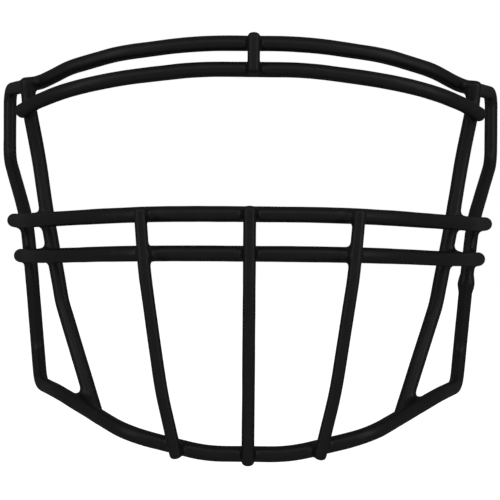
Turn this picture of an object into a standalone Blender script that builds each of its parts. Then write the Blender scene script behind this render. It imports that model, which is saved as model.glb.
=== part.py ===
"""Face guard of an American football helmet, in metres, with +Z up.

The guard is a cage of bent steel rods. The rods lie on each other where they cross, a weld joins
each crossing, and the whole cage is dipped in black polymer, which each rod's diameter includes.

+X points right as seen by someone facing the guard, +Y points back towards the wearer, and the
origin is on the centre line of the upper brow bar, at its middle, where helmet clips hold it.
Left and right are as seen from the front. The cage is symmetric about X = 0, but for the brow
strut and for the butt weld that closes the perimeter loop.
"""
import math

import bmesh
import bpy
import numpy as np
from mathutils import Vector

MM = 0.001

# ---- driving dimensions, in millimetres ----------------------------------------------------
HEAVY_D = 6.9  # coated diameter of the perimeter loop, brow bar, bull bars and side uprights
LIGHT_D = 5.5  # coated diameter of the centre upright, jaw uprights and brow strut
GAP = 0.3  # clearance between a rod and whatever lies on it
LIGHT_LAP = (HEAVY_D + LIGHT_D) / 2 + GAP  # centre distance of a heavy and a light rod that cross

BROW_Z = 0.0  # upper brow bar, at the middle
LOWER_BROW_Z = -11.6
UPPER_BULL_Z = -76.6
LOWER_BULL_Z = -93.4
CHIN_Z = -179.3
BULL_Y = -25.0  # the bull bars stand this far in front of the brow bars
CHIN_Y = -20.0
STRUT_X = 1.2  # the strut sits this far off the middle

ROD_SIDES = 12
BEND_STEP = math.radians(13)  # largest turn between two rings of a rod
BEND_SAG = 0.08  # and how far a chord between them may lie inside a bend's arc
DOME_RINGS = 3
DOME_FLATTENING = 0.8  # height of a dipped rod end, as a share of the rod's radius

WELD_RING = 3.9  # radius of the ring of weld metal round a crossing's contact point
WELD_SECTION = 1.75  # radius of the ring's section, in the plane of the crossing
WELD_HEIGHT = 2.6  # half height of the ring's section, along the contact normal
WELD_RING_POINTS = 12
WELD_RING_SIDES = 6
BUTT_WELD_Z = -108.0
BUTT_WELD_LENGTH = 10.0
BUTT_WELD_D = 8.9  # across the bead's crown
BUTT_WELD_EDGE_D = 7.6  # across its two edges, which just clear the loop
BUTT_WELD_SIDES = 16
BUTT_WELD_RINGS = 5

SAMPLE_STEP = 0.4  # between the points of a rod that crossings are measured on
EVERYWHERE = (-500.0, 500.0)  # ranges of height that a crossing is looked for in
BOTH_BROWS = (-40.0, 20.0)
UPPER_BROW = (-5.0, 20.0)
LOWER_BROW = (-20.0, -5.0)
CHIN = (-200.0, -140.0)

COAT_COLOUR = (0.012, 0.012, 0.013, 1.0)
COAT_ROUGHNESS = 0.42
WELD_COLOUR = (0.016, 0.016, 0.017, 1.0)
WELD_ROUGHNESS = 0.5

SIDES = {"left": -1, "right": 1}


# ---- bend tables: x, y, z and bend radius of each corner, for the right half ----------------
def perimeter_table():
    """Brow, temple, side wire and chin: one closed loop, from the brow's middle to the chin's."""
    brow = [
        (24.0, 0.0, BROW_Z, 90.0),
        (60.5, 12.9, -3.0, 90.0),
        (84.3, 26.6, -7.7, 60.0),
        (98.5, 38.5, -12.8, 30.0),
    ]
    side = [
        (129.6, 123.0, -6.3, 7.5),
        (129.7, 123.9, -43.6, 12.7),
        (113.5, 84.7, -77.3, 40.0),
        (109.5, 77.2, -104.9, 30.0),
    ]
    chin = [
        (108.1, 88.2, -141.5, 10.0),
        (104.1, 74.0, -159.2, 16.0),
        (90.0, 38.4, -159.7, 41.7),
        (52.1, -14.0, -172.0, 32.6),
        (18.0, CHIN_Y, CHIN_Z, 60.0),
    ]
    return brow + side + chin


def lower_brow_table():
    """The bar below it, whose ends lie on the fronts of the side uprights."""
    return [
        (24.0, 0.0, LOWER_BROW_Z, 120.0),
        (61.5, 6.0, -15.4, 110.0),
        (85.0, 16.6, -19.5, 80.0),
        (99.8, 29.0, -23.5, 40.0),
        (107.7, 35.7, -26.9, 0.0),
    ]


def upper_bull_table():
    """A bar across the mouth, which passes outside the side uprights and the side wires."""
    return [
        (35.7, BULL_Y, UPPER_BULL_Z, 65.0),
        (63.7, -4.3, -77.3, 80.0),
        (100.4, 34.2, -78.5, 80.0),
        (119.4, 81.4, -77.7, 0.0),
    ]


def lower_bull_table():
    """The bar below it, a little shorter and flatter."""
    return [
        (36.0, BULL_Y, LOWER_BULL_Z, 65.0),
        (64.0, -4.5, -94.1, 80.0),
        (96.2, 31.6, -95.3, 80.0),
        (114.5, 73.4, -95.5, 0.0),
    ]


def side_upright_table():
    """Outside the upper brow bar, then inside the lower brow bar, the bull bars and the chin."""
    return [
        (106.2, 39.9, -13.3, 0.0),
        (105.3, 42.3, -26.1, 20.0),
        (101.7, 47.9, -48.2, 60.0),
        (96.7, 45.2, -78.2, 60.0),
        (88.9, 41.0, -117.2, 30.0),
        (70.8, 25.0, -167.7, 0.0),
    ]


def jaw_upright_table():
    """A light rod in front of both bull bars and the chin bar."""
    return [
        (46.8, -23.6, UPPER_BULL_Z + 0.6, 0.0),
        (44.5, -25.1, -102.1, 150.0),
        (37.1, -25.1, -151.9, 200.0),
        (30.8, -24.2, CHIN_Z + 0.5, 0.0),
    ]


def centre_upright_table():
    """A light rod on the middle of both bull bars and the chin bar."""
    front = BULL_Y - LIGHT_LAP
    return [
        (0.0, front, UPPER_BULL_Z + 1.2, 0.0),
        (0.0, front, LOWER_BULL_Z - 12.0, 60.0),
        (0.0, CHIN_Y - LIGHT_LAP, CHIN_Z - 1.9, 0.0),
    ]


def strut_table():
    """A short light rod that ties the two brow bars at the middle."""
    return [
        (STRUT_X, -LIGHT_LAP, BROW_Z + 1.7, 0.0),
        (STRUT_X, -LIGHT_LAP, LOWER_BROW_Z - 0.6, 0.0),
    ]


def mirrored(table):
    """The left half of a symmetric rod, in front of its right half."""
    left = [(-x, y, z, r) for x, y, z, r in reversed(table)]
    return left + list(table)


def on_side(table, sign):
    """A one-sided rod, on the left for -1 and on the right for 1."""
    return [(sign * x, y, z, r) for x, y, z, r in table]


# ---- centre lines --------------------------------------------------------------------------
def unit(vector):
    return vector / np.linalg.norm(vector)


def bend_arc(before, corner, after, radius):
    """Points along the arc that rounds one corner of a rod."""
    into = unit(corner - before)
    out = unit(after - corner)
    turn = math.acos(min(1.0, max(-1.0, float(into @ out))))
    if radius == 0.0 or turn < 0.001:
        return [corner]
    start = corner - into * radius * math.tan(turn / 2)
    inward = unit(out - into * (into @ out))
    step = min(BEND_STEP, 2 * math.acos(1 - BEND_SAG / radius))
    steps = math.ceil(turn / step)
    arc = []
    for angle in np.linspace(0.0, turn, steps + 1):
        arc.append(start + into * radius * math.sin(angle) + inward * radius * (1 - math.cos(angle)))
    return arc


def centre_line(table, closed=False):
    """A bend table as points in millimetres: straight runs joined by arcs."""
    corners = [np.array(row[:3]) for row in table]
    count = len(corners)
    line = []
    for i, row in enumerate(table):
        inner = closed or 0 < i < count - 1
        if inner:
            line += bend_arc(corners[i - 1], corners[i], corners[(i + 1) % count], row[3])
        else:
            line.append(corners[i])
    return np.array(line)


def sampled(line, closed=False):
    """The same line with close, even points, to measure crossings on."""
    ends = np.vstack([line, line[:1]]) if closed else line
    points = []
    for a, b in zip(ends[:-1], ends[1:]):
        count = max(1, int(np.linalg.norm(b - a) / SAMPLE_STEP))
        points.append(a + (b - a) * np.linspace(0, 1, count, endpoint=False)[:, None])
    return np.vstack(points + [ends[-1:]])


# ---- meshes --------------------------------------------------------------------------------
def ring_frames(line, closed):
    """A tangent and a normal at each point, turned as little as possible along the rod."""
    if closed:
        ahead = np.roll(line, -1, axis=0) - line
        behind = line - np.roll(line, 1, axis=0)
    else:
        steps = np.diff(line, axis=0)
        ahead = np.vstack([steps, steps[-1:]])
        behind = np.vstack([steps[:1], steps])
    lengths = [np.linalg.norm(v, axis=1, keepdims=True) for v in (ahead, behind)]
    tangents = ahead / lengths[0] + behind / lengths[1]
    tangents /= np.linalg.norm(tangents, axis=1, keepdims=True)
    seed = np.array([0.0, 0.0, 1.0]) if abs(tangents[0][2]) < 0.8 else np.array([0.0, 1.0, 0.0])
    normals = [unit(seed - tangents[0] * (seed @ tangents[0]))]
    for tangent in tangents[1:]:
        last = normals[-1]
        normals.append(unit(last - tangent * (last @ tangent)))
    return tangents, np.array(normals)


def rod_rings(line, radius, closed):
    """Centre, normal, binormal and radius of each ring, with the domed ends of an open rod."""
    tangents, normals = ring_frames(line, closed)
    binormals = np.cross(tangents, normals)
    rings = [(line[i], normals[i], binormals[i], radius) for i in range(len(line))]
    if closed:
        return rings
    head = []
    tail = []
    for k in range(1, DOME_RINGS):
        angle = math.pi / 2 * k / DOME_RINGS
        reach = radius * DOME_FLATTENING * math.sin(angle)
        size = radius * math.cos(angle)
        head.insert(0, (line[0] - tangents[0] * reach, normals[0], binormals[0], size))
        tail.append((line[-1] + tangents[-1] * reach, normals[-1], binormals[-1], size))
    return head + rings + tail


def sweep(line, radius, closed=False, sides=ROD_SIDES):
    """A faceted rod of the given radius round a centre line in millimetres, as a mesh."""
    bm = bmesh.new()
    loops = []
    for centre, normal, binormal, size in rod_rings(line, radius, closed):
        loop = []
        for k in range(sides):
            angle = 2 * math.pi * k / sides
            point = centre + (normal * math.cos(angle) + binormal * math.sin(angle)) * size
            loop.append(bm.verts.new(point * MM))
        loops.append(loop)
    pairs = list(zip(loops[:-1], loops[1:]))
    if closed:
        pairs.append((loops[-1], loops[0]))
    for low, high in pairs:
        for k in range(sides):
            j = (k + 1) % sides
            bm.faces.new((low[k], low[j], high[j], high[k]))
    if not closed:
        close_ends(bm, loops, line, radius)
    bmesh.ops.recalc_face_normals(bm, faces=bm.faces)
    mesh = bpy.data.meshes.new("rod")
    bm.to_mesh(mesh)
    bm.free()
    mesh.shade_smooth()
    return mesh


def close_ends(bm, loops, line, radius):
    """The pole of each domed end, joined to its last ring."""
    reach = radius * DOME_FLATTENING
    poles = (line[0] + unit(line[0] - line[1]) * reach, line[-1] + unit(line[-1] - line[-2]) * reach)
    for loop, pole in zip((loops[0], loops[-1]), poles):
        tip = bm.verts.new(pole * MM)
        for k in range(len(loop)):
            bm.faces.new((loop[k], loop[(k + 1) % len(loop)], tip))


def circle(radius, points):
    angles = np.linspace(0, 2 * math.pi, points, endpoint=False)
    return np.column_stack([np.cos(angles), np.sin(angles), np.zeros(points)]) * radius


# ---- objects -------------------------------------------------------------------------------
def material(name, colour, roughness):
    coat = bpy.data.materials.new(name)
    coat.use_nodes = True
    shader = coat.node_tree.nodes["Principled BSDF"]
    shader.inputs["Base Color"].default_value = colour
    shader.inputs["Roughness"].default_value = roughness
    shader.inputs["Metallic"].default_value = 0.0
    return coat


def add_object(name, mesh):
    """An object for a mesh, parented to the guard's empty."""
    piece = bpy.data.objects.new(name, mesh)
    bpy.context.scene.collection.objects.link(piece)
    piece.parent = bpy.data.objects["face_guard"]
    return piece


class Rod:
    """One bent rod: its centre line, its object, and a cutter that clears it by the gap."""

    def __init__(self, name, table, diameter, closed=False):
        self.line = centre_line(table, closed)
        self.samples = sampled(self.line, closed)
        piece = add_object(name, sweep(self.line, diameter / 2, closed))
        piece.data.materials.append(material(name + "_coat", COAT_COLOUR, COAT_ROUGHNESS))
        clearance = GAP / math.cos(math.pi / ROD_SIDES)
        self.cutter = add_object(name + "_clearance", sweep(self.line, diameter / 2 + clearance, closed))
        self.cutter.hide_render = True
        self.cutter.display_type = "WIRE"


def crossing(first, second, sign, low, high):
    """Where two rods touch on one side (0 for the middle) between two heights: the contact's
    middle and the direction from the first rod to the second."""
    found = []
    for rod in (first, second):
        points = rod.samples
        keep = (points[:, 2] > low) & (points[:, 2] < high)
        if sign:
            keep &= points[:, 0] * sign > 0
        found.append(points[keep])
    distances = np.linalg.norm(found[0][:, None] - found[1][None], axis=2)
    i, j = np.unravel_index(distances.argmin(), distances.shape)
    return (found[0][i] + found[1][j]) / 2, unit(found[1][j] - found[0][i])


def cut_by(piece, rod):
    cut = piece.modifiers.new("clear_of_rod", "BOOLEAN")
    cut.operation = "DIFFERENCE"
    cut.solver = "EXACT"
    cut.object = rod.cutter


def place(piece, centre, direction):
    piece.location = Vector(centre) * MM
    piece.rotation_mode = "QUATERNION"
    piece.rotation_quaternion = Vector(direction).to_track_quat("Z", "Y")


def add_weld(name, mesh, first, second, sign, low, high):
    """Weld metal round the contact of two rods, cut clear of both."""
    piece = add_object(name, mesh)
    place(piece, *crossing(first, second, sign, low, high))
    cut_by(piece, first)
    cut_by(piece, second)


def weld_mesh():
    """A ring that is flattened along its axis, before the rods are cut from it."""
    mesh = sweep(circle(WELD_RING, WELD_RING_POINTS), WELD_SECTION, closed=True, sides=WELD_RING_SIDES)
    stretch = WELD_HEIGHT / WELD_SECTION
    for vertex in mesh.vertices:
        vertex.co.z *= stretch
    mesh.materials.append(material("weld_coat", WELD_COLOUR, WELD_ROUGHNESS))
    return mesh


def butt_weld_mesh():
    """A short barrel round the loop, standing on its Z axis."""
    bm = bmesh.new()
    loops = []
    for share in np.linspace(-1, 1, BUTT_WELD_RINGS):
        crown = (BUTT_WELD_D - BUTT_WELD_EDGE_D) / 2 * math.sqrt(1 - share * share)
        ring = circle(BUTT_WELD_EDGE_D / 2 + crown, BUTT_WELD_SIDES)
        ring[:, 2] = share * BUTT_WELD_LENGTH / 2
        loops.append([bm.verts.new(point * MM) for point in ring])
    for lower, upper in zip(loops[:-1], loops[1:]):
        for k in range(BUTT_WELD_SIDES):
            j = (k + 1) % BUTT_WELD_SIDES
            bm.faces.new((lower[k], lower[j], upper[j], upper[k]))
    bm.faces.new(loops[0])
    bm.faces.new(loops[-1])
    bmesh.ops.recalc_face_normals(bm, faces=bm.faces)
    mesh = bpy.data.meshes.new("butt_weld")
    bm.to_mesh(mesh)
    bm.free()
    mesh.materials.append(material("butt_weld_coat", WELD_COLOUR, WELD_ROUGHNESS))
    return mesh


def add_butt_weld(loop):
    """The bead round the joint that closes the perimeter loop, on the right side wire."""
    side = loop.samples[loop.samples[:, 0] > 0]
    index = int(np.abs(side[:, 2] - BUTT_WELD_Z).argmin())
    piece = add_object("weld_perimeter_butt", butt_weld_mesh())
    place(piece, side[index], unit(side[index + 1] - side[index - 1]))
    cut_by(piece, loop)


# ---- the cage ------------------------------------------------------------------------------
def add_rods():
    rods = {}

    def rod(name, table, diameter, closed=False):
        rods[name] = Rod(name, table, diameter, closed)

    rod("perimeter_loop", mirrored(perimeter_table()), HEAVY_D, closed=True)
    rod("brow_bar_lower", mirrored(lower_brow_table()), HEAVY_D)
    rod("bull_bar_upper", mirrored(upper_bull_table()), HEAVY_D)
    rod("bull_bar_lower", mirrored(lower_bull_table()), HEAVY_D)
    for side, sign in SIDES.items():
        rod(f"side_upright_{side}", on_side(side_upright_table(), sign), HEAVY_D)
        rod(f"jaw_upright_{side}", on_side(jaw_upright_table(), sign), LIGHT_D)
    rod("centre_upright", centre_upright_table(), LIGHT_D)
    rod("brow_strut", strut_table(), LIGHT_D)
    return rods


def add_welds(rods):
    mesh = weld_mesh()

    def weld(name, first, second, sign=0, heights=EVERYWHERE):
        add_weld(name, mesh, rods[first], rods[second], sign, *heights)

    for side, sign in SIDES.items():
        upright = f"side_upright_{side}"
        jaw = f"jaw_upright_{side}"
        weld(f"weld_brow_upper_upright_{side}", "perimeter_loop", upright, sign, BOTH_BROWS)
        weld(f"weld_brow_lower_upright_{side}", upright, "brow_bar_lower", sign)
        for bull in ("bull_bar_upper", "bull_bar_lower"):
            level = bull.replace("_bar", "")
            weld(f"weld_{level}_end_{side}", "perimeter_loop", bull, sign)
            weld(f"weld_{level}_upright_{side}", upright, bull, sign)
            weld(f"weld_{level}_jaw_{side}", bull, jaw, sign)
        weld(f"weld_chin_upright_{side}", upright, "perimeter_loop", sign, CHIN)
        weld(f"weld_chin_jaw_{side}", "perimeter_loop", jaw, sign, CHIN)
    weld("weld_bull_upper_centre", "bull_bar_upper", "centre_upright")
    weld("weld_bull_lower_centre", "bull_bar_lower", "centre_upright")
    weld("weld_chin_centre", "perimeter_loop", "centre_upright", 0, CHIN)
    weld("weld_strut_upper", "perimeter_loop", "brow_strut", 0, UPPER_BROW)
    weld("weld_strut_lower", "brow_bar_lower", "brow_strut", 0, LOWER_BROW)
    add_butt_weld(rods["perimeter_loop"])


def build():
    for old in list(bpy.data.objects):
        bpy.data.objects.remove(old, do_unlink=True)
    guard = bpy.data.objects.new("face_guard", None)
    bpy.context.scene.collection.objects.link(guard)
    add_welds(add_rods())


build()
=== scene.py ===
"""A face guard for an American football helmet: bent steel rods, welded into a cage and dipped in
black polymer.

Each rod and each weld of the CAD frame is replaced by a finely made piece in the same place.
Lengths are in millimetres until a mesh is made. +X is right as seen from the front, +Y back towards
the wearer, and +Z up.
"""

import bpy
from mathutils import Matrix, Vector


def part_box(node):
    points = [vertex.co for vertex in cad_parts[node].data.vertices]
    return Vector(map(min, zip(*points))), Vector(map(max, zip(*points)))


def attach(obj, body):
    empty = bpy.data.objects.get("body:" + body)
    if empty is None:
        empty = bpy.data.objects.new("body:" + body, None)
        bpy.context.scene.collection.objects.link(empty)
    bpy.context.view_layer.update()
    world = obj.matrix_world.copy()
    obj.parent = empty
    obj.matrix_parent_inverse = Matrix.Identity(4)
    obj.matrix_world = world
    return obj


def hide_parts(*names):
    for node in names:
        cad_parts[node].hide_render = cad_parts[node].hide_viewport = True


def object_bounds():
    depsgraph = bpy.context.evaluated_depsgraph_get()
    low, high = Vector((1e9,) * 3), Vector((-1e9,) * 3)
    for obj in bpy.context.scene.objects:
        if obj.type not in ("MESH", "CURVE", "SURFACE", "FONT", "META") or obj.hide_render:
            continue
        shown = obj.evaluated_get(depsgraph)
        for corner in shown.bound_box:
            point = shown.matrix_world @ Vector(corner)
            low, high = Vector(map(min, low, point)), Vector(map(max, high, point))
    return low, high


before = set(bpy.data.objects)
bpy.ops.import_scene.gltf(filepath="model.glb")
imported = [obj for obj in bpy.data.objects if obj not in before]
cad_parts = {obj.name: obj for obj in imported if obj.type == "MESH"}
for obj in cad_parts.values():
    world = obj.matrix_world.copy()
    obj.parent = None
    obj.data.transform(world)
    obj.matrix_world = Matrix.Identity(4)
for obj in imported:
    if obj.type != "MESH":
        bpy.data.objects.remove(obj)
CAD_BOX = [list(corner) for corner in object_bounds()]

import math

import bmesh
import bpy
import numpy as np
from mathutils import Vector

MM = 0.001
WHITE = (1.0, 1.0, 1.0, 1.0)
TO_FRONT = (0.0, -1.0, 0.0)
SIDES = {"left": -1, "right": 1}

# ---- the cage's dimensions, as the CAD frame has them ----------------------------------------
HEAVY_D = 6.9
LIGHT_D = 5.5
LIGHT_LAP = 6.5  # centre distance of a heavy and a light rod that cross
BROW_Z = 0.0
LOWER_BROW_Z = -11.6
UPPER_BULL_Z = -76.6
LOWER_BULL_Z = -93.4
CHIN_Z = -179.3
BULL_Y = -25.0
CHIN_Y = -20.0
STRUT_X = 1.2

# ---- how finely the pieces are made ----------------------------------------------------------
ROD_SIDES = 36
RING_STEP = 1.2
TIP_RINGS = 7
TIP_REACH = 0.8  # length of a dipped rod end, as a share of the rod's radius
TIP_POWER = 2.4  # 2 would be an ellipse; more is a flatter end with a tighter shoulder
STEEP = 0.8  # upward share of a direction above which +Z is too near it to set a normal by
CELL = 0.42  # of the grid that a weld's surface is found on
GRID_MARGIN = 1.0  # from the grid's edge to the furthest that a weld can reach
JUST_OUTSIDE = 0.01  # distance given to a point of that grid that is put outside the weld

# ---- welds and coat --------------------------------------------------------------------------
FILLET = 4.1  # how far up each rod the coat pools at a crossing
FILLET_WANDER = 0.35
FILLET_STRETCH = 0.8  # length of its wander, as a share of the coat's
WELD_SINK = 1.1  # how deep a weld reaches into its rods
SEAM = 0.02  # how far a weld lies under the coat where it has run out
BUTT_WELD_REACH = 5.2  # half its length along the wire
BUTT_WELD_HEIGHT = 0.95
BUTT_WELD_POWER = 1.3  # of the cosine that its swelling follows along the wire
BUTT_WELD_WANDER = 0.1  # share of its height that wanders
BUTT_WELD_STRETCH = 0.3  # length of that wander, as a share of the coat's
BUTT_WELD_MARGIN = 5.0  # from its end to the edge of its grid
BUTT_WELD_RUN = 30.0  # length of side wire that is looked at to either side of it
COAT_LUMPS = 0.04  # amplitude of the coat's unevenness
COAT_LIMITS = (-1.5, 0.8)  # of the unevenness, as multiples of its amplitude
COAT_MIDDLE = 0.5  # multiple that lies on the rod's radius
WAVE_SEED = 7
WAVE_COUNT = 14
WAVE_SPAN = (9.0, 34.0)  # shortest and longest wave of the unevenness

# ---- coat: colours, and sizes and depths of what shows in it ---------------------------------
COAT_DARK = (0.0100, 0.0100, 0.0104)
COAT_PALE = (0.0160, 0.0160, 0.0166)
COAT_ROUGHNESS = (0.33, 0.42)
COAT_IOR = 1.48
WELD_SMOOTHNESS = 0.03  # taken off the roughness where the coat pools
NOISE_RANGE = (0.3, 0.7)  # that most of a noise texture's values lie in
DRIFT = 22.0  # size of the patches that the gloss drifts over
PEEL = 3.2  # size of the coat's orange peel, and of the mottle in its tone
PEEL_DEPTH = 0.12
GRAIN = 0.45
GRAIN_DEPTH = 0.02

# ---- studio, in metres -----------------------------------------------------------------------
EYE = (0.0, -0.578, -0.0918)
LENS = 93.67
SENSOR = 36.0
ROLL = math.radians(0.45)
SHIFT_X = 0.001
CLIP = (0.01, 60.0)
FLOOR_Z = -0.42
FLOOR_RADIUS = 12.0
FLOOR_SEGMENTS = 96
FLOOR_WHITE = 0.92
FLOOR_MOTTLE = 400.0  # mm
FLOOR_MOTTLE_SHADE = 0.985
FLOOR_ROUGHNESS = 0.9
FLOOR_GLOW = 1.0
MIDDLE = (0.0, 0.02, -0.09)  # what the lights point at
FILL = (0.045, 0.225)  # the room's light from behind and from in front
SOFTBOXES = {  # place, size and glow
    "softbox_top": ((0.0, -0.44, 0.25), (0.9, 0.14), 0.49),
    "softbox_left": ((-0.38, -0.19, 0.05), (0.12, 0.42), 0.66),
    "softbox_right": ((0.38, -0.18, 0.05), (0.12, 0.42), 0.78),
}


# ---- bend tables: x, y, z and bend radius of each corner, for the right half -----------------
def perimeter_table():
    """Brow, temple, side wire and chin: one closed loop, from the brow's middle to the chin's."""
    brow = [
        (24.0, 0.0, BROW_Z, 90.0),
        (60.5, 12.9, -3.0, 90.0),
        (84.3, 26.6, -7.7, 60.0),
        (98.5, 38.5, -12.8, 30.0),
    ]
    side = [
        (129.6, 123.0, -6.3, 7.5),
        (129.7, 123.9, -43.6, 12.7),
        (113.5, 84.7, -77.3, 40.0),
        (109.5, 77.2, -104.9, 30.0),
    ]
    chin = [
        (108.1, 88.2, -141.5, 10.0),
        (104.1, 74.0, -159.2, 16.0),
        (90.0, 38.4, -159.7, 41.7),
        (52.1, -14.0, -172.0, 32.6),
        (18.0, CHIN_Y, CHIN_Z, 60.0),
    ]
    return brow + side + chin


def lower_brow_table():
    """The bar below it, whose ends lie on the fronts of the side uprights."""
    return [
        (24.0, 0.0, LOWER_BROW_Z, 120.0),
        (61.5, 6.0, -15.4, 110.0),
        (85.0, 16.6, -19.5, 80.0),
        (99.8, 29.0, -23.5, 40.0),
        (107.7, 35.7, -26.9, 0.0),
    ]


def upper_bull_table():
    """A bar across the mouth, which passes outside the side uprights and the side wires."""
    return [
        (35.7, BULL_Y, UPPER_BULL_Z, 65.0),
        (63.7, -4.3, -77.3, 80.0),
        (100.4, 34.2, -78.5, 80.0),
        (119.4, 81.4, -77.7, 0.0),
    ]


def lower_bull_table():
    """The bar below it, a little shorter and flatter."""
    return [
        (36.0, BULL_Y, LOWER_BULL_Z, 65.0),
        (64.0, -4.5, -94.1, 80.0),
        (96.2, 31.6, -95.3, 80.0),
        (114.5, 73.4, -95.5, 0.0),
    ]


def side_upright_table():
    """Outside the upper brow bar, then inside the lower brow bar, the bull bars and the chin."""
    return [
        (106.2, 39.9, -13.3, 0.0),
        (105.3, 42.3, -26.1, 20.0),
        (101.7, 47.9, -48.2, 60.0),
        (96.7, 45.2, -78.2, 60.0),
        (88.9, 41.0, -117.2, 30.0),
        (70.8, 25.0, -167.7, 0.0),
    ]


def jaw_upright_table():
    """A light rod in front of both bull bars and the chin bar."""
    return [
        (46.8, -23.6, UPPER_BULL_Z + 0.6, 0.0),
        (44.5, -25.1, -102.1, 150.0),
        (37.1, -25.1, -151.9, 200.0),
        (30.8, -24.2, CHIN_Z + 0.5, 0.0),
    ]


def centre_upright_table():
    """A light rod on the middle of both bull bars and the chin bar."""
    front = BULL_Y - LIGHT_LAP
    return [
        (0.0, front, UPPER_BULL_Z + 1.2, 0.0),
        (0.0, front, LOWER_BULL_Z - 12.0, 60.0),
        (0.0, CHIN_Y - LIGHT_LAP, CHIN_Z - 1.9, 0.0),
    ]


def strut_table():
    """A short light rod that ties the two brow bars at the middle."""
    return [
        (STRUT_X, -LIGHT_LAP, BROW_Z + 1.7, 0.0),
        (STRUT_X, -LIGHT_LAP, LOWER_BROW_Z - 0.6, 0.0),
    ]


def mirrored(table):
    """The left half of a symmetric rod, in front of its right half."""
    return [(-x, y, z, r) for x, y, z, r in reversed(table)] + list(table)


def on_side(table, sign):
    """A one-sided rod, on the left for -1 and on the right for 1."""
    return [(sign * x, y, z, r) for x, y, z, r in table]


# ---- centre lines ----------------------------------------------------------------------------
def unit(vector):
    return vector / np.linalg.norm(vector)


def bend_arc(before, corner, after, radius):
    """Points along the arc that rounds one corner of a rod."""
    into = unit(corner - before)
    out = unit(after - corner)
    turn = math.acos(min(1.0, max(-1.0, float(into @ out))))
    start = corner - into * radius * math.tan(turn / 2)
    inward = unit(out - into * (into @ out))
    steps = max(2, math.ceil(radius * turn / RING_STEP))
    return [start + into * radius * math.sin(a) + inward * radius * (1 - math.cos(a))
            for a in np.linspace(0.0, turn, steps + 1)]


def centre_line(table, closed):
    """A bend table as close points: straight runs joined by arcs."""
    corners = [np.array(row[:3]) for row in table]
    count = len(corners)
    knots = []
    for i, row in enumerate(table):
        if closed or 0 < i < count - 1:
            knots += bend_arc(corners[i - 1], corners[i], corners[(i + 1) % count], row[3])
        else:
            knots.append(corners[i])
    line = []
    ends = knots[1:] + knots[:1]
    for start, end in zip(knots, ends if closed else ends[:-1]):
        steps = max(1, round(float(np.linalg.norm(end - start)) / RING_STEP))
        line += [start + (end - start) * k / steps for k in range(steps)]
    return np.array(line if closed else line + [knots[-1]])


# ---- the coat's unevenness -------------------------------------------------------------------
WAVES = np.random.default_rng(WAVE_SEED)
WAVE_WAYS = WAVES.normal(size=(WAVE_COUNT, 3))
WAVE_WAYS /= np.linalg.norm(WAVE_WAYS, axis=1, keepdims=True)
WAVE_LENGTHS = WAVES.uniform(*WAVE_SPAN, WAVE_COUNT)
WAVE_PHASES = WAVES.uniform(0.0, 2 * math.pi, WAVE_COUNT)


def ripple(points, stretch=1.0):
    """A smooth wandering number of about -1 to 1 at each point."""
    waves = WAVE_WAYS / (WAVE_LENGTHS[:, None] * stretch)
    turns = points @ waves.T * (2 * math.pi) + WAVE_PHASES
    return np.sin(turns).sum(axis=-1) / math.sqrt(WAVE_COUNT)


def coat(points):
    """How far the coat stands off the rod's radius: from 0.08 mm below it to 0.01 above."""
    return COAT_LUMPS * (np.clip(ripple(points), *COAT_LIMITS) - COAT_MIDDLE)


def in_cad_box(points):
    """Points in millimetres, any outside the CAD frame's box moved onto its faces."""
    return np.clip(points, *(np.array(corner) / MM for corner in CAD_BOX))


# ---- rods ------------------------------------------------------------------------------------
class Rod:
    """One bent rod: its centre line and radius, and how far points lie outside its coat."""

    def __init__(self, table, diameter, closed=False):
        self.radius = diameter / 2
        self.closed = closed
        self.line = centre_line(table, closed)

    def frames(self):
        """A tangent, normal and binormal at each point, turned as little as possible on the way."""
        if self.closed:
            tangents = np.roll(self.line, -1, axis=0) - np.roll(self.line, 1, axis=0)
        else:
            tangents = np.gradient(self.line, axis=0)
        tangents /= np.linalg.norm(tangents, axis=1, keepdims=True)
        seed = np.array([0.0, 1.0, 0.0] if abs(tangents[0][2]) >= STEEP else [0.0, 0.0, 1.0])
        normals = [unit(seed - tangents[0] * (seed @ tangents[0]))]
        for tangent in tangents[1:]:
            normals.append(unit(normals[-1] - tangent * (normals[-1] @ tangent)))
        normals = np.array(normals)
        return tangents, normals, np.cross(tangents, normals)

    def rings(self):
        """Centre, normal, binormal and radius of each ring, with an open rod's rounded ends."""
        tangents, normals, binormals = self.frames()
        body = [(p, n, b, self.radius) for p, n, b in zip(self.line, normals, binormals)]
        if self.closed:
            return body
        head = []
        tail = []
        for k in range(1, TIP_RINGS):
            angle = math.pi / 2 * k / TIP_RINGS
            reach = self.radius * TIP_REACH * math.sin(angle) ** (2 / TIP_POWER)
            size = self.radius * math.cos(angle) ** (2 / TIP_POWER)
            start = self.line[0] - tangents[0] * reach
            end = self.line[-1] + tangents[-1] * reach
            head.insert(0, (start, normals[0], binormals[0], size))
            tail.append((end, normals[-1], binormals[-1], size))
        return head + body + tail

    def outside(self, points, middle, reach):
        """How far points near a place lie outside the coat of the rod's runs within reach of it."""
        ends = np.vstack([self.line, self.line[:1]]) if self.closed else self.line
        last = len(ends) - 2
        tip = self.radius * TIP_REACH
        least = np.full(len(points), np.inf)
        for i in range(last + 1):
            start, run = ends[i], ends[i + 1] - ends[i]
            if np.linalg.norm(start + run / 2 - middle) > reach:
                continue
            length = np.linalg.norm(run)
            run = run / length
            along = (points - start) @ run
            low = -np.inf if i == 0 and not self.closed else 0.0
            high = np.inf if i == last and not self.closed else length
            foot = np.clip(along, low, high)
            off = np.linalg.norm(points - start - foot[:, None] * run, axis=1)
            past = np.clip(np.maximum(-foot, foot - length), 0.0, None)
            size = (off / self.radius) ** TIP_POWER + (past / tip) ** TIP_POWER
            least = np.minimum(least, (size ** (1 / TIP_POWER) - 1) * self.radius)
        return least


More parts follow.
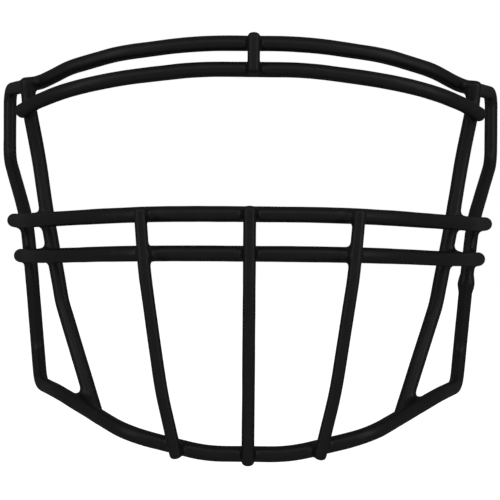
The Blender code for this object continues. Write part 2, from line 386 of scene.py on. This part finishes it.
def rod_mesh(name, rod):
    """The rod's coated surface: rings of points, each moved by the coat's unevenness."""
    angles = np.linspace(0, 2 * math.pi, ROD_SIDES, endpoint=False)
    places = []
    for centre, normal, binormal, size in rod.rings():
        ways = np.outer(np.cos(angles), normal) + np.outer(np.sin(angles), binormal)
        lumps = coat(centre + ways * size)[:, None] * size / rod.radius
        places.append(in_cad_box(centre + ways * (size + lumps)))
    bm = bmesh.new()
    loops = [[bm.verts.new(p * MM) for p in ring] for ring in places]
    pairs = list(zip(loops, loops[1:]))
    if rod.closed:
        pairs.append((loops[-1], loops[0]))
    for low, high in pairs:
        for k in range(ROD_SIDES):
            j = (k + 1) % ROD_SIDES
            bm.faces.new((low[k], low[j], high[j], high[k]))
    if not rod.closed:
        reach = rod.radius * TIP_REACH
        for loop, (end, inner) in ((loops[0], rod.line[:2]), (loops[-1], rod.line[:-3:-1])):
            pole = bm.verts.new((end + unit(end - inner) * reach) * MM)
            for k in range(ROD_SIDES):
                bm.faces.new((loop[k], loop[(k + 1) % ROD_SIDES], pole))
    return finished(bm, name)


def finished(bm, name):
    """A mesh with its faces outwards and smooth."""
    bmesh.ops.recalc_face_normals(bm, faces=bm.faces)
    mesh = bpy.data.meshes.new(name)
    bm.to_mesh(mesh)
    bm.free()
    mesh.shade_smooth()
    return mesh


# ---- welds -----------------------------------------------------------------------------------
def put_outside(a, b, where):
    """Put the shallower of two inside points just outside, wherever marked. True if any was."""
    first = where & (a >= b)
    a[first] = JUST_OUTSIDE
    b[where & ~first] = JUST_OUTSIDE
    return bool(where.any())


def part_squares(field):
    """Part any inside points that meet only across the diagonal of a grid square."""
    found = False
    for axis in range(3):
        turned = np.moveaxis(field, axis, 0)
        rising = (turned[:, :-1, :-1], turned[:, 1:, 1:])
        falling = (turned[:, :-1, 1:], turned[:, 1:, :-1])
        for (a, b), (c, d) in ((rising, falling), (falling, rising)):
            found |= put_outside(a, b, (a < 0) & (b < 0) & (c >= 0) & (d >= 0))
    return found


def part_cells(field):
    """Part any inside points, or any outside ones, that meet only across a grid cell's diagonal."""
    x, y, z = (n - 1 for n in field.shape)
    corners = {(i, j, k): field[i:i + x, j:j + y, k:k + z]
               for i in (0, 1) for j in (0, 1) for k in (0, 1)}
    found = False
    for j in (0, 1):
        for k in (0, 1):
            a, b, beside = corners[0, j, k], corners[1, 1 - j, 1 - k], corners[1, j, k]
            inside = sum((corner < 0).astype(int) for corner in corners.values())
            found |= put_outside(a, b, (inside == 2) & (a < 0) & (b < 0))
            found |= put_outside(beside, beside, (inside == 6) & (a >= 0) & (b >= 0))
    return found


def unpinched(field):
    """The field without places where a surface round it would meet itself at an edge or a point."""
    field = field.copy()
    while part_squares(field) or part_cells(field):
        pass
    return field


def surface_net(field, low, name):
    """A closed mesh round where a field is negative, on a grid whose lowest corner is low."""
    field = unpinched(field)
    shape = [n - 1 for n in field.shape]
    total = np.zeros((*shape, 3))
    count = np.zeros(shape)
    quads = []
    numbers = np.arange(count.size).reshape(shape)
    for axis in range(3):
        order = (axis, *(d for d in range(3) if d != axis))
        back = np.argsort(order)
        turned = field.transpose(order)
        start, end = turned[:-1], turned[1:]
        cut = (start < 0) != (end < 0)
        share = np.where(cut, start / np.where(cut, start - end, 1.0), 0.0)
        cells = numbers.transpose(order)
        for up in (0, 1):
            for over in (0, 1):
                window = (slice(None), slice(up, up + cells.shape[1]),
                          slice(over, over + cells.shape[2]))
                hit = cut[window]
                spot = np.zeros((*hit.shape, 3))
                spot[..., order[0]] = share[window]
                spot[..., order[1]] = up
                spot[..., order[2]] = over
                total += (spot * hit[..., None]).transpose((*back, 3))
                count += hit.transpose(back)
        i, j, k = np.nonzero(cut[:, 1:-1, 1:-1])
        quads.append(np.stack([cells[i, j, k], cells[i, j + 1, k],
                               cells[i, j + 1, k + 1], cells[i, j, k + 1]], axis=1))
    quads = np.vstack(quads)
    used, quads = np.unique(quads, return_inverse=True)
    at = np.stack(np.unravel_index(used, shape), axis=1)
    spots = total.reshape(-1, 3)[used] / count.reshape(-1, 1)[used]
    places = in_cad_box(low + (at + spots) * CELL) * MM
    mesh = bpy.data.meshes.new(name)
    mesh.from_pydata(places.tolist(), [], quads.reshape(-1, 4).tolist())
    bm = bmesh.new()
    bm.from_mesh(mesh)
    bpy.data.meshes.remove(mesh)
    return finished(bm, name)


def grid_round(node, margin):
    """Grid points round a CAD node, the grid's shape, its lowest corner and its middle."""
    low, high = (np.array(corner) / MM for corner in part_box(node))
    middle = (low + high) / 2
    low, high = middle - margin, middle + margin
    axes = [np.arange(a, b, CELL) for a, b in zip(low, high)]
    grid = np.stack(np.meshgrid(*axes, indexing="ij"), axis=-1)
    return grid.reshape(-1, 3), grid.shape[:3], low, middle


def joined(a, b, reach):
    """Two surfaces' distances as one, with a round fillet that runs up each surface by reach."""
    near = np.hypot(np.maximum(reach - a, 0), np.maximum(reach - b, 0))
    return np.maximum(reach, np.minimum(a, b)) - near


def weld_mesh(node, first, second):
    """Weld and pooled coat between two rods that cross: it runs out under the coat of each rod."""
    margin = FILLET + FILLET_WANDER + first.radius + GRID_MARGIN
    points, shape, low, middle = grid_round(node, margin)
    a = first.outside(points, middle, 2 * margin)
    b = second.outside(points, middle, 2 * margin)
    reach = FILLET + FILLET_WANDER * ripple(points, FILLET_STRETCH)
    skin = joined(a, b, reach) - coat(points) + SEAM
    core = -(np.minimum(a, b) + WELD_SINK)
    rim = np.maximum(a, b) - FILLET - FILLET_WANDER
    return surface_net(np.maximum(np.maximum(skin, core), rim).reshape(shape), low, node)


def butt_weld_mesh(node, loop):
    """The bead round the joint of the perimeter loop, which swells from the side wire's coat."""
    points, shape, low, middle = grid_round(node, BUTT_WELD_REACH + BUTT_WELD_MARGIN)
    nearest = np.abs(loop.line - middle).sum(axis=1).argmin()
    way = unit(loop.line[nearest + 1] - loop.line[nearest - 1])
    along = (points - middle) @ way
    outside = loop.outside(points, middle, BUTT_WELD_RUN)
    share = np.clip(np.abs(along) / BUTT_WELD_REACH, 0.0, 1.0)
    wander = 1 - BUTT_WELD_WANDER + BUTT_WELD_WANDER * ripple(points, BUTT_WELD_STRETCH)
    swell = BUTT_WELD_HEIGHT * np.cos(share * math.pi / 2) ** BUTT_WELD_POWER * wander
    skin = outside - swell - coat(points) + SEAM
    core = -(outside + WELD_SINK)
    rim = np.abs(along) - BUTT_WELD_REACH
    return surface_net(np.maximum(np.maximum(skin, core), rim).reshape(shape), low, node)


# ---- materials -------------------------------------------------------------------------------
class Nodes:
    """A small helper that adds and joins the nodes of one material."""

    def __init__(self, name):
        self.material = bpy.data.materials.new(name)
        self.material.use_nodes = True
        self.tree = self.material.node_tree
        self.shader = self.tree.nodes["Principled BSDF"]
        self.place = self.add("ShaderNodeTexCoord").outputs["Object"]

    def add(self, kind, **values):
        node = self.tree.nodes.new(kind)
        for key, value in values.items():
            setattr(node, key, value)
        return node

    def link(self, source, target):
        self.tree.links.new(source, target)

    def noise(self, size_mm, detail=2.0, roughness=0.5):
        """Noise whose grains are about size_mm across."""
        noise = self.add("ShaderNodeTexNoise")
        noise.inputs["Scale"].default_value = 1 / (size_mm * MM)
        noise.inputs["Detail"].default_value = detail
        noise.inputs["Roughness"].default_value = roughness
        self.link(self.place, noise.inputs["Vector"])
        return noise.outputs["Fac"]

    def spread(self, noise, low, high):
        """Noise, spread so that most of it lies from low to high."""
        node = self.add("ShaderNodeMapRange")
        self.link(noise, node.inputs["Value"])
        keys = ("From Min", "From Max", "To Min", "To Max")
        for key, value in zip(keys, (*NOISE_RANGE, low, high)):
            node.inputs[key].default_value = value
        return node.outputs["Result"]

    def blend(self, factor, dark, light):
        node = self.add("ShaderNodeMix", data_type="RGBA")
        self.link(factor, node.inputs["Factor"])
        node.inputs["A"].default_value = (*dark, 1.0)
        node.inputs["B"].default_value = (*light, 1.0)
        return node.outputs["Result"]

    def bump(self, height, depth_mm, strength, under=None):
        node = self.add("ShaderNodeBump")
        node.inputs["Strength"].default_value = strength
        node.inputs["Distance"].default_value = depth_mm * MM
        self.link(height, node.inputs["Height"])
        if under is not None:
            self.link(under, node.inputs["Normal"])
        return node.outputs["Normal"]


def coat_material(name, smoothness):
    """Satin black dip coat: soft orange peel, fine grain, and tone and gloss that drift."""
    nodes = Nodes(name)
    inputs = nodes.shader.inputs
    drift = nodes.noise(DRIFT, detail=3.0)
    mottle = nodes.noise(PEEL, detail=4.0, roughness=0.6)
    grain = nodes.noise(GRAIN)
    tone = nodes.spread(mottle, 0.0, 1.0)
    nodes.link(nodes.blend(tone, COAT_DARK, COAT_PALE), inputs["Base Color"])
    rough = nodes.spread(drift, *(value - smoothness for value in COAT_ROUGHNESS))
    nodes.link(rough, inputs["Roughness"])
    peel = nodes.bump(mottle, PEEL_DEPTH, strength=0.5)
    nodes.link(nodes.bump(grain, GRAIN_DEPTH, strength=0.4, under=peel), inputs["Normal"])
    inputs["IOR"].default_value = COAT_IOR
    return nodes.material


def floor_material():
    """Pale, faintly mottled and lit from within, so that no horizon shows against the room."""
    nodes = Nodes("pale_floor")
    inputs = nodes.shader.inputs
    pale = (FLOOR_WHITE,) * 3
    shaded = [value * FLOOR_MOTTLE_SHADE for value in pale]
    tone = nodes.spread(nodes.noise(FLOOR_MOTTLE), 0.0, 1.0)
    nodes.link(nodes.blend(tone, shaded, pale), inputs["Base Color"])
    inputs["Roughness"].default_value = FLOOR_ROUGHNESS
    inputs["Emission Color"].default_value = WHITE
    inputs["Emission Strength"].default_value = FLOOR_GLOW
    return nodes.material


# ---- the cage --------------------------------------------------------------------------------
def add_piece(node, mesh, material):
    """A piece that stands for one CAD node."""
    piece = bpy.data.objects.new("coated_" + node, mesh)
    bpy.context.scene.collection.objects.link(piece)
    piece.data.materials.append(material)
    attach(piece, "root")
    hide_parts(node)


def all_rods():
    rods = {
        "perimeter_loop": Rod(mirrored(perimeter_table()), HEAVY_D, closed=True),
        "brow_bar_lower": Rod(mirrored(lower_brow_table()), HEAVY_D),
        "bull_bar_upper": Rod(mirrored(upper_bull_table()), HEAVY_D),
        "bull_bar_lower": Rod(mirrored(lower_bull_table()), HEAVY_D),
        "centre_upright": Rod(centre_upright_table(), LIGHT_D),
        "brow_strut": Rod(strut_table(), LIGHT_D),
    }
    for side, sign in SIDES.items():
        rods[f"side_upright_{side}"] = Rod(on_side(side_upright_table(), sign), HEAVY_D)
        rods[f"jaw_upright_{side}"] = Rod(on_side(jaw_upright_table(), sign), LIGHT_D)
    return rods


def all_welds():
    """The two rods that each weld joins."""
    welds = {
        "weld_bull_upper_centre": ("bull_bar_upper", "centre_upright"),
        "weld_bull_lower_centre": ("bull_bar_lower", "centre_upright"),
        "weld_chin_centre": ("perimeter_loop", "centre_upright"),
        "weld_strut_upper": ("perimeter_loop", "brow_strut"),
        "weld_strut_lower": ("brow_bar_lower", "brow_strut"),
    }
    for side in SIDES:
        upright = f"side_upright_{side}"
        jaw = f"jaw_upright_{side}"
        welds[f"weld_brow_upper_upright_{side}"] = ("perimeter_loop", upright)
        welds[f"weld_brow_lower_upright_{side}"] = ("brow_bar_lower", upright)
        for level in ("upper", "lower"):
            bull = f"bull_bar_{level}"
            welds[f"weld_bull_{level}_end_{side}"] = ("perimeter_loop", bull)
            welds[f"weld_bull_{level}_upright_{side}"] = (bull, upright)
            welds[f"weld_bull_{level}_jaw_{side}"] = (bull, jaw)
        welds[f"weld_chin_upright_{side}"] = ("perimeter_loop", upright)
        welds[f"weld_chin_jaw_{side}"] = ("perimeter_loop", jaw)
    return welds


def add_guard():
    rods = all_rods()
    rod_coat = coat_material("coat_on_rods", 0.0)
    weld_coat = coat_material("coat_on_welds", WELD_SMOOTHNESS)
    for node, rod in rods.items():
        add_piece(node, rod_mesh(node, rod), rod_coat)
    for node, (first, second) in all_welds().items():
        add_piece(node, weld_mesh(node, rods[first], rods[second]), weld_coat)
    butt = "weld_perimeter_butt"
    add_piece(butt, butt_weld_mesh(butt, rods["perimeter_loop"]), weld_coat)


# ---- studio ----------------------------------------------------------------------------------
def add_camera():
    data = bpy.data.cameras.new("camera")
    data.lens = LENS
    data.sensor_width = SENSOR
    data.shift_x = SHIFT_X
    data.clip_start, data.clip_end = CLIP
    camera = bpy.data.objects.new("camera", data)
    camera.location = EYE
    camera.rotation_euler = (math.pi / 2, -ROLL, 0.0)
    bpy.context.scene.collection.objects.link(camera)
    bpy.context.scene.camera = camera


def add_softbox(name, place, size, glow):
    """An area light of size metres, pointed at the guard, with a surface as bright as glow."""
    data = bpy.data.lights.new(name, "AREA")
    data.shape = "RECTANGLE"
    data.size, data.size_y = size
    data.energy = glow * math.pi * size[0] * size[1]
    light = bpy.data.objects.new(name, data)
    light.location = place
    light.rotation_mode = "QUATERNION"
    light.rotation_quaternion = (Vector(MIDDLE) - Vector(place)).to_track_quat("-Z", "Y")
    bpy.context.scene.collection.objects.link(light)


def add_lights():
    for name, (place, size, glow) in SOFTBOXES.items():
        add_softbox(name, place, size, glow)


def add_floor():
    bm = bmesh.new()
    bmesh.ops.create_circle(bm, cap_ends=True, segments=FLOOR_SEGMENTS, radius=FLOOR_RADIUS)
    floor = bpy.data.objects.new("floor", finished(bm, "floor"))
    floor.location.z = FLOOR_Z
    floor.visible_glossy = False
    floor.visible_diffuse = False
    floor.data.materials.append(floor_material())
    bpy.context.scene.collection.objects.link(floor)


def add_world():
    """A room that is white to look at, and to the guard a dim fill that is weakest from behind."""
    world = bpy.data.worlds.new("studio")
    world.use_nodes = True
    tree = world.node_tree
    fill = tree.nodes["Background"]
    place = tree.nodes.new("ShaderNodeTexCoord")
    facing = tree.nodes.new("ShaderNodeVectorMath")
    facing.operation = "DOT_PRODUCT"
    facing.inputs[1].default_value = TO_FRONT
    tree.links.new(place.outputs["Generated"], facing.inputs[0])
    strength = tree.nodes.new("ShaderNodeMapRange")
    strength.inputs["From Min"].default_value = -1.0
    strength.inputs["To Min"].default_value = FILL[0]
    strength.inputs["To Max"].default_value = FILL[1]
    tree.links.new(facing.outputs["Value"], strength.inputs["Value"])
    tree.links.new(strength.outputs["Result"], fill.inputs["Strength"])
    fill.inputs["Color"].default_value = WHITE
    seen = tree.nodes.new("ShaderNodeBackground")
    seen.inputs["Color"].default_value = WHITE
    ray = tree.nodes.new("ShaderNodeLightPath")
    mix = tree.nodes.new("ShaderNodeMixShader")
    tree.links.new(ray.outputs["Is Camera Ray"], mix.inputs["Fac"])
    tree.links.new(fill.outputs["Background"], mix.inputs[1])
    tree.links.new(seen.outputs["Background"], mix.inputs[2])
    tree.links.new(mix.outputs["Shader"], tree.nodes["World Output"].inputs["Surface"])
    bpy.context.scene.world = world


bpy.context.scene.view_settings.view_transform = "Standard"
add_camera()
add_guard()
add_floor()
add_lights()
add_world()
